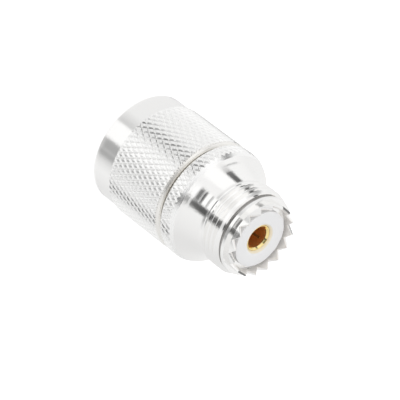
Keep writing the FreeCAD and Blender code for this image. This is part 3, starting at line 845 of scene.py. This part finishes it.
# %% Turn and tip
world = bpy.data.worlds.new("studio")
bpy.context.scene.world = world
world.use_nodes = True
studio = world.node_tree
studio.nodes.clear()
side = math.radians(CAMERA_SIDE)
LENS_LEVEL, LENS_UP = 0.802, 0.598  # the lens is 37 degrees above level


def vector_maths(operation, feed, fixed=None):
    """A vector math node on a socket and, where it needs one, a fixed vector."""
    node = studio.nodes.new("ShaderNodeVectorMath")
    node.operation = operation
    studio.links.new(feed, node.inputs[0])
    if fixed:
        node.inputs[1].default_value = fixed
    return node.outputs["Value" if operation == "DOT_PRODUCT" else "Vector"]


toward_lens = (LENS_LEVEL * math.cos(side), LENS_LEVEL * math.sin(side), LENS_UP)
direction = studio.nodes.new("ShaderNodeTexCoord").outputs["Generated"]
facing = vector_maths("NORMALIZE", vector_maths("ADD", direction, toward_lens))
front = vector_maths("DOT_PRODUCT", facing, (math.cos(side), math.sin(side), 0))
sideways = vector_maths("DOT_PRODUCT", facing, (-math.sin(side), math.cos(side), 0))
upward = vector_maths("DOT_PRODUCT", facing, (0, 0, 1))
print("lens direction", [round(part, 3) for part in toward_lens])

# %% [markdown]
# ## Ramps over turn and tip
# A colour ramp runs from 0 to 1, so both angles are scaled to that range. On the flare
# the edges of the reflections spread as the surface tips up, because the real boards
# stand close by. A factor on the turn makes up for that.

# %% Ramps over turn and tip
SPREAD_UP, SPREAD_LOSS = 1.44, 0.48
level = maths(studio, "SQRT",
              maths(studio, "SUBTRACT", 1, maths(studio, "MULTIPLY", upward, upward)))
spread = maths(studio, "MULTIPLY_ADD", level, -SPREAD_LOSS, SPREAD_UP)
turn = maths(studio, "MULTIPLY", maths(studio, "ARCTAN2", sideways, front), spread)
turn = maths(studio, "MULTIPLY_ADD", turn, 0.5 / math.pi, 0.5)
tip_up = maths(studio, "MULTIPLY_ADD", maths(studio, "ARCSINE", upward), 1 / math.pi, 0.5)


def ramp(feed, stops, low, high):
    """A grey ramp from (angle, grey) stops on a feed that is 0 at low and 1 at high."""
    node = studio.nodes.new("ShaderNodeValToRGB")
    studio.links.new(feed, node.inputs["Fac"])
    points = node.color_ramp.elements
    while len(points) > 1:
        points.remove(points[-1])
    for number, (angle, grey) in enumerate(stops):
        place = (angle - low) / (high - low)
        point = points.new(place) if number else points[0]
        point.position = place
        point.color = (grey, grey, grey, 1)
    return node.outputs["Color"]


def by_turn(stops):
    """Greys by the angle round the axis, in degrees from the camera's side."""
    return ramp(turn, stops, -180, 180)


def by_tip(stops):
    """Greys by the angle up from level, in degrees."""
    return ramp(tip_up, stops, -90, 90)


print("at level the turn is scaled by", round(SPREAD_UP - SPREAD_LOSS, 2))

# %% [markdown]
# ## White boards
# Most of what the metal shows is white boards, a little grey between them. Upright
# surfaces, such as the band, show other greys than sloping ones, so there are two rows
# of stops, mixed by the tip. Whatever faces well down shows the white sheet.

# %% White boards
WHITE = (1, 1, 1, 1)


def blended(first, second, factor=1.0, way="MIX"):
    """Two colours mixed or multiplied. Each feed is a socket or a fixed value."""
    node = studio.nodes.new("ShaderNodeMix")
    node.data_type = "RGBA"
    node.blend_type = way
    for label, feed in (("Factor", factor), ("A", first), ("B", second)):
        if isinstance(feed, (float, tuple)):
            node.inputs[label].default_value = feed
        else:
            studio.links.new(feed, node.inputs[label])
    return node.outputs["Result"]


upright = by_turn([(-180, 0.9), (-90, 0.8), (-61, 0.88), (-21, 0.88), (-14.5, 0.76),
                   (-8.6, 0.62), (-6.8, 1.05), (11, 1.05), (19, 1.0), (22.5, 0.42), (25.5, 0.42),
                   (29, 0.68), (34, 0.83), (41, 0.91), (50, 0.87), (60, 0.82), (75, 0.82),
                   (90, 0.86), (180, 0.88)])
sloping = by_turn([(-180, 0.93), (-90, 0.9), (-70, 0.95), (-56, 0.96), (-42, 1.05), (-22, 1.05),
                   (-20, 0.93), (-8, 0.95), (-6, 1.05), (10, 1.05), (24, 0.92), (50, 0.86),
                   (70, 0.79), (90, 0.79), (180, 0.93)])
boards = blended(upright, sloping, by_tip([(4, 0), (8, 1)]))
boards = blended(boards, WHITE, by_tip([(-22, 1), (-8, 0)]))
print("boards:", len(studio.nodes), "nodes so far")

# %% [markdown]
# ## Dark things between the boards
# The black strips on the flare and the neck are the studio's own gear. Each is a range
# of turns, where 0 is inside it, and a row of greys by the tip. It is multiplied into
# the boards.

# %% Dark things between the boards
DARK_THINGS = {
    "stand": ([(9.5, 1), (11.5, 0), (19, 0), (22.5, 1)],
              [(-25, 0.85), (-5, 0.45), (1, 0.4), (4, 0.1), (54, 0.12), (58, 0.7), (62, 0.7),
               (64, 0.3), (75, 0.4), (85, 1)]),
    "rail": ([(-54, 1), (-51, 0), (-44, 0), (-41.5, 1)],
             [(3.5, 1), (7, 0.12), (40, 0.15), (47, 0.6), (70, 0.9), (75, 1)]),
    "tripod": ([(-8, 1), (-6.5, 0), (9, 0), (10.5, 1)],
               [(10, 1), (12, 0.5), (16, 0.5), (18, 1), (28.5, 1), (30.5, 0.15), (36, 0.12),
                (37.5, 0.8), (39, 0.8), (40.5, 0.12), (50, 0.25), (56, 1)]),
    "shelf": ([(-74, 1), (-68, 0), (-54, 0), (-50, 1)],
              [(57.5, 1), (59.3, 0.4), (60.7, 0.4), (62.5, 1)]),
}
for turn_stops, tip_stops in DARK_THINGS.values():
    dark = blended(by_tip(tip_stops), WHITE, by_turn(turn_stops))
    boards = blended(boards, dark, 1.0, "MULTIPLY")
print("dark things:", ", ".join(DARK_THINGS))

# %% [markdown]
# ## What each ray sees
# Only glossy rays see the boards. The camera sees plain white, and everything else is
# lit by an even pale grey, so a colour still renders as written. The grooves of the
# knurl, the gap and the bore send a ray from wall to wall many times before it leaves.
# With the usual four bounces they would turn black, so ten are allowed.

# %% What each ray sees
PALE_GREY = (0.9, 0.9, 0.9, 1)
ray = studio.nodes.new("ShaderNodeLightPath")


def background(colour):
    """A background in a fixed colour, or in one fed by a socket."""
    node = studio.nodes.new("ShaderNodeBackground")
    if isinstance(colour, tuple):
        node.inputs["Color"].default_value = colour
    else:
        studio.links.new(colour, node.inputs["Color"])
    return node.outputs[0]


def seen_by(kind_of_ray, shown, otherwise):
    """One background for a kind of ray, and another for all the others."""
    node = studio.nodes.new("ShaderNodeMixShader")
    studio.links.new(ray.outputs[kind_of_ray], node.inputs["Fac"])
    studio.links.new(otherwise, node.inputs[1])
    studio.links.new(shown, node.inputs[2])
    return node.outputs[0]


surroundings = seen_by("Is Glossy Ray", background(boards), background(PALE_GREY))
surroundings = seen_by("Is Camera Ray", background(WHITE), surroundings)
output = studio.nodes.new("ShaderNodeOutputWorld")
studio.links.new(surroundings, output.inputs["Surface"])
bpy.context.scene.view_settings.view_transform = "Standard"
bpy.context.scene.cycles.glossy_bounces = 10
print("studio:", len(studio.nodes), "nodes")

# %% [markdown]
# ## White sheet
# The floor is a large white sheet that catches a soft shadow. It could be a shadow
# catcher, but that has to be laid over white afterwards. For the camera alone, the
# paper gives off a little light of its own, so that it is pure white away from the
# shadow. Glossy rays don't see it: the world already gives them white from below.

# %% White sheet
SHEET_REACH = 6.0
SHEET_DROP = 0.02 * MM
PAPER_LIFT = 0.3
sheet = bpy.data.meshes.new("floor")
corners = [(x * SHEET_REACH, y * SHEET_REACH, 0) for x, y in ((-1, -1), (1, -1), (1, 1), (-1, 1))]
sheet.from_pydata(corners, [], [(0, 1, 2, 3)])
floor = bpy.data.objects.new("floor", sheet)
bpy.context.scene.collection.objects.link(floor)
floor.location.z = -SHEET_DROP
paper = bpy.data.materials.new("white_paper")
paper.use_nodes = True
paper_shader = paper.node_tree.nodes["Principled BSDF"]
paper_shader.inputs["Base Color"].default_value = WHITE
paper_shader.inputs["Roughness"].default_value = 1
paper_shader.inputs["Specular IOR Level"].default_value = 0
paper_shader.inputs["Emission Color"].default_value = WHITE
paper_ray = paper.node_tree.nodes.new("ShaderNodeLightPath")
lift = maths(paper.node_tree, "MULTIPLY", paper_ray.outputs["Is Camera Ray"], PAPER_LIFT)
paper.node_tree.links.new(lift, paper_shader.inputs["Emission Strength"])
sheet.materials.append(paper)
floor.visible_glossy = False
print("sheet", 2 * SHEET_REACH, "m wide")

# %% [markdown]
# ## Softbox
# One large lamp from the upper left gives the plastic a soft direction and lays a faint
# shadow on the sheet. It is kept weak, so that a colour still renders as written. Neither
# the camera nor the metal sees it, because the boards already show the metal its whites.

# %% Lamp
AIM = Vector((0, 0, 0.02))
lamp_data = bpy.data.lights.new("softbox", "AREA")
lamp_data.shape = "DISK"
lamp_data.size = 0.5
lamp_data.energy = 1.2
lamp = bpy.data.objects.new("softbox", lamp_data)
bpy.context.scene.collection.objects.link(lamp)
lamp.location = (-0.35, -0.35, 0.6)
lamp.rotation_mode = "QUATERNION"
lamp.rotation_quaternion = (AIM - lamp.location).to_track_quat("-Z", "Y")
lamp.visible_glossy = False
lamp.visible_camera = False
print("lamp", round((AIM - lamp.location).length, 2), "m from the part")

# %% [markdown]
# ## The end
# The last call brings the scene up to date.

# %% The end
bpy.context.view_layer.update()
